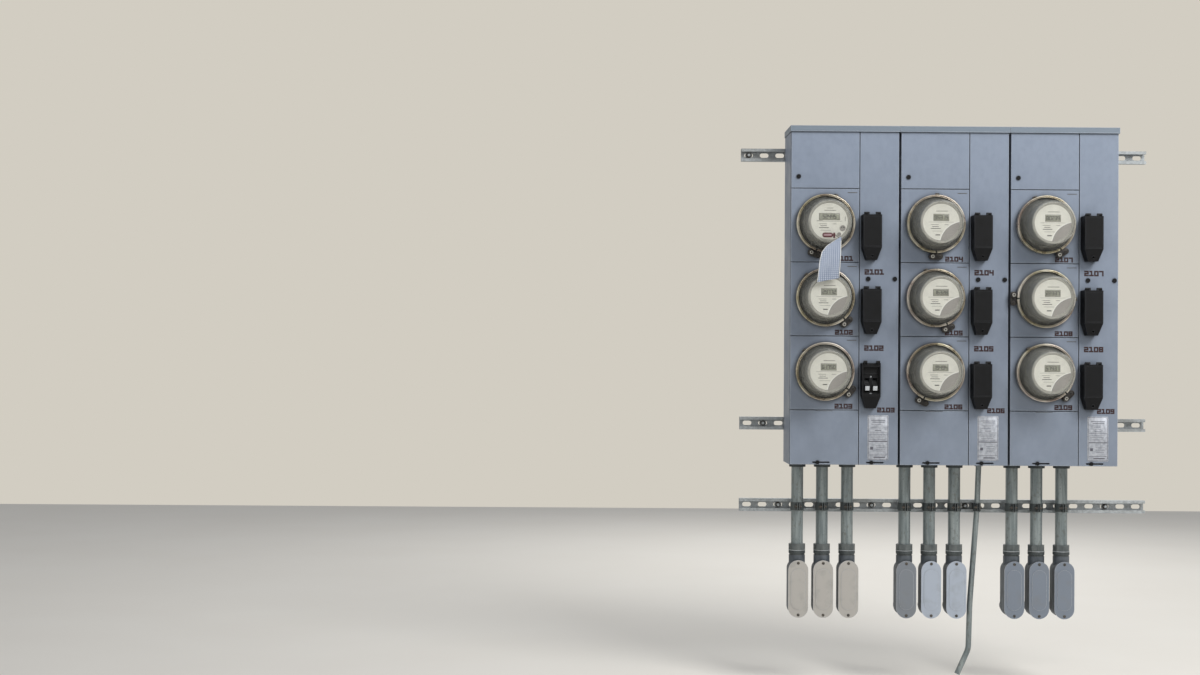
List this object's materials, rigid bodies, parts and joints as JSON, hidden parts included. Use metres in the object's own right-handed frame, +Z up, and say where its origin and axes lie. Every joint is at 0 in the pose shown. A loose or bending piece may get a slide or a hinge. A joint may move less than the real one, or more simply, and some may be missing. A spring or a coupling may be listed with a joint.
{
  "type": "wall-mounted electricity meter bank",
  "caption": "Wall-mounted group of joined steel cabinets with round socket meters, flap-covered main breakers, rails and conduits below.",
  "frame": {"origin": "on the wall plane, at the middle of the middle rail's back, which is the cabinets' centre line", "axes": "+Z up, -Y out of the wall towards the viewer, +X to the right seen from the front"},
  "size_m": [1.3208, 0.3145, 1.7547],
  "materials": {
    "cabinet_paint": "weathered blue-grey enamel, slightly chalky",
    "black_moulding": "black moulded plastic",
    "handle_plastic": "black handles with white tips",
    "meter_plastic": "dark grey-green moulding",
    "dial_plate": "cream dial plate",
    "meter_glass": "clear dusty glass",
    "ring_metal": "yellowed plated steel",
    "lock_metal": "dark blued steel",
    "socket_block": "brown insulating moulding",
    "bus_metal": "plated bar",
    "galvanised": "galvanised strut",
    "conduit_metal": "painted over, dull grey-green",
    "connector_metal": "dark weathered casting",
    "body_casting": "grey enamelled casting",
    "body_cover": "light grey enamelled cover",
    "strap_metal": "dark weathered strap",
    "screw_black": "black screws and studs",
    "notice_paper": "white slip with a pale blue grid"
  },
  "bodies": {
    "bank": {"breaker_cover_left": "cabinet_paint", "breaker_cover_middle": "cabinet_paint", "breaker_cover_right": "cabinet_paint", "breaker_frames": "black_moulding", "breakers": "black_moulding", "bus_bars": "bus_metal", "conduit_bodies": "body_casting", "conduit_body_covers": "body_cover", "conduit_connectors": "connector_metal", "conduit_hubs": "connector_metal", "conduits": "conduit_metal", "cover_latches": "screw_black", "cover_screws": "screw_black", "enclosure_left": "cabinet_paint", "enclosure_middle": "cabinet_paint", "enclosure_right": "cabinet_paint", "grounding_conduit": "conduit_metal", "lower_cover_left": "cabinet_paint", "lower_cover_middle": "cabinet_paint", "lower_cover_right": "cabinet_paint", "lower_rail": "galvanised", "meter_bodies": "meter_plastic", "meter_cover_left_bottom": "cabinet_paint", "meter_cover_left_middle": "cabinet_paint", "meter_cover_left_top": "cabinet_paint", "meter_cover_middle_bottom": "cabinet_paint", "meter_cover_middle_middle": "cabinet_paint", "meter_cover_middle_top": "cabinet_paint", "meter_cover_right_bottom": "cabinet_paint", "meter_cover_right_middle": "cabinet_paint", "meter_cover_right_top": "cabinet_paint", "meter_dials": "dial_plate", "meter_glasses": "meter_glass", "meter_sockets": "socket_block", "middle_rail": "galvanised", "notice_tag": "notice_paper", "pipe_straps": "strap_metal", "ring_locks": "lock_metal", "sealing_rings": "ring_metal", "top_cover_left": "cabinet_paint", "top_cover_middle": "cabinet_paint", "top_cover_right": "cabinet_paint", "top_rail": "galvanised"},
    "breaker_toggle_left_top": {"breaker_toggle_left_top": "handle_plastic"},
    "breaker_flap_left_top": {"breaker_flap_left_top": "black_moulding"},
    "breaker_toggle_left_middle": {"breaker_toggle_left_middle": "handle_plastic"},
    "breaker_flap_left_middle": {"breaker_flap_left_middle": "black_moulding"},
    "breaker_toggle_left_bottom": {"breaker_toggle_left_bottom": "handle_plastic"},
    "breaker_toggle_middle_top": {"breaker_toggle_middle_top": "handle_plastic"},
    "breaker_flap_middle_top": {"breaker_flap_middle_top": "black_moulding"},
    "breaker_toggle_middle_middle": {"breaker_toggle_middle_middle": "handle_plastic"},
    "breaker_flap_middle_middle": {"breaker_flap_middle_middle": "black_moulding"},
    "breaker_toggle_middle_bottom": {"breaker_toggle_middle_bottom": "handle_plastic"},
    "breaker_flap_middle_bottom": {"breaker_flap_middle_bottom": "black_moulding"},
    "breaker_toggle_right_top": {"breaker_toggle_right_top": "handle_plastic"},
    "breaker_flap_right_top": {"breaker_flap_right_top": "black_moulding"},
    "breaker_toggle_right_middle": {"breaker_toggle_right_middle": "handle_plastic"},
    "breaker_flap_right_middle": {"breaker_flap_right_middle": "black_moulding"},
    "breaker_toggle_right_bottom": {"breaker_toggle_right_bottom": "handle_plastic"},
    "breaker_flap_right_bottom": {"breaker_flap_right_bottom": "black_moulding"}
  },
  "joints": [
    {"name": "throw_left_top", "type": "hinge", "parent": "bank", "child": "breaker_toggle_left_top", "pos_m": [-0.267, -0.1916, 0.5958], "axis": [-1, 0, 0], "range_deg": [0, 38]},
    {"name": "lift_left_top", "type": "hinge", "parent": "bank", "child": "breaker_flap_left_top", "pos_m": [-0.267, -0.2293, 0.668], "axis": [-1, 0, 0], "range_deg": [0, 115]},
    {"name": "throw_left_middle", "type": "hinge", "parent": "bank", "child": "breaker_toggle_left_middle", "pos_m": [-0.267, -0.1916, 0.3628], "axis": [-1, 0, 0], "range_deg": [0, 38]},
    {"name": "lift_left_middle", "type": "hinge", "parent": "bank", "child": "breaker_flap_left_middle", "pos_m": [-0.267, -0.2293, 0.435], "axis": [-1, 0, 0], "range_deg": [0, 115]},
    {"name": "throw_left_bottom", "type": "hinge", "parent": "bank", "child": "breaker_toggle_left_bottom", "pos_m": [-0.267, -0.1916, 0.1298], "axis": [-1, 0, 0], "range_deg": [0, 38]},
    {"name": "throw_middle_top", "type": "hinge", "parent": "bank", "child": "breaker_toggle_middle_top", "pos_m": [0.08, -0.1916, 0.5958], "axis": [-1, 0, 0], "range_deg": [0, 38]},
    {"name": "lift_middle_top", "type": "hinge", "parent": "bank", "child": "breaker_flap_middle_top", "pos_m": [0.08, -0.2293, 0.668], "axis": [-1, 0, 0], "range_deg": [0, 115]},
    {"name": "throw_middle_middle", "type": "hinge", "parent": "bank", "child": "breaker_toggle_middle_middle", "pos_m": [0.08, -0.1916, 0.3628], "axis": [-1, 0, 0], "range_deg": [0, 38]},
    {"name": "lift_middle_middle", "type": "hinge", "parent": "bank", "child": "breaker_flap_middle_middle", "pos_m": [0.08, -0.2293, 0.435], "axis": [-1, 0, 0], "range_deg": [0, 115]},
    {"name": "throw_middle_bottom", "type": "hinge", "parent": "bank", "child": "breaker_toggle_middle_bottom", "pos_m": [0.08, -0.1916, 0.1298], "axis": [-1, 0, 0], "range_deg": [0, 38]},
    {"name": "lift_middle_bottom", "type": "hinge", "parent": "bank", "child": "breaker_flap_middle_bottom", "pos_m": [0.08, -0.2293, 0.202], "axis": [-1, 0, 0], "range_deg": [0, 115]},
    {"name": "throw_right_top", "type": "hinge", "parent": "bank", "child": "breaker_toggle_right_top", "pos_m": [0.427, -0.1916, 0.5958], "axis": [-1, 0, 0], "range_deg": [0, 38]},
    {"name": "lift_right_top", "type": "hinge", "parent": "bank", "child": "breaker_flap_right_top", "pos_m": [0.427, -0.2293, 0.668], "axis": [-1, 0, 0], "range_deg": [0, 115]},
    {"name": "throw_right_middle", "type": "hinge", "parent": "bank", "child": "breaker_toggle_right_middle", "pos_m": [0.427, -0.1916, 0.3628], "axis": [-1, 0, 0], "range_deg": [0, 38]},
    {"name": "lift_right_middle", "type": "hinge", "parent": "bank", "child": "breaker_flap_right_middle", "pos_m": [0.427, -0.2293, 0.435], "axis": [-1, 0, 0], "range_deg": [0, 115]},
    {"name": "throw_right_bottom", "type": "hinge", "parent": "bank", "child": "breaker_toggle_right_bottom", "pos_m": [0.427, -0.1916, 0.1298], "axis": [-1, 0, 0], "range_deg": [0, 38]},
    {"name": "lift_right_bottom", "type": "hinge", "parent": "bank", "child": "breaker_flap_right_bottom", "pos_m": [0.427, -0.2293, 0.202], "axis": [-1, 0, 0], "range_deg": [0, 115]}
  ]
}
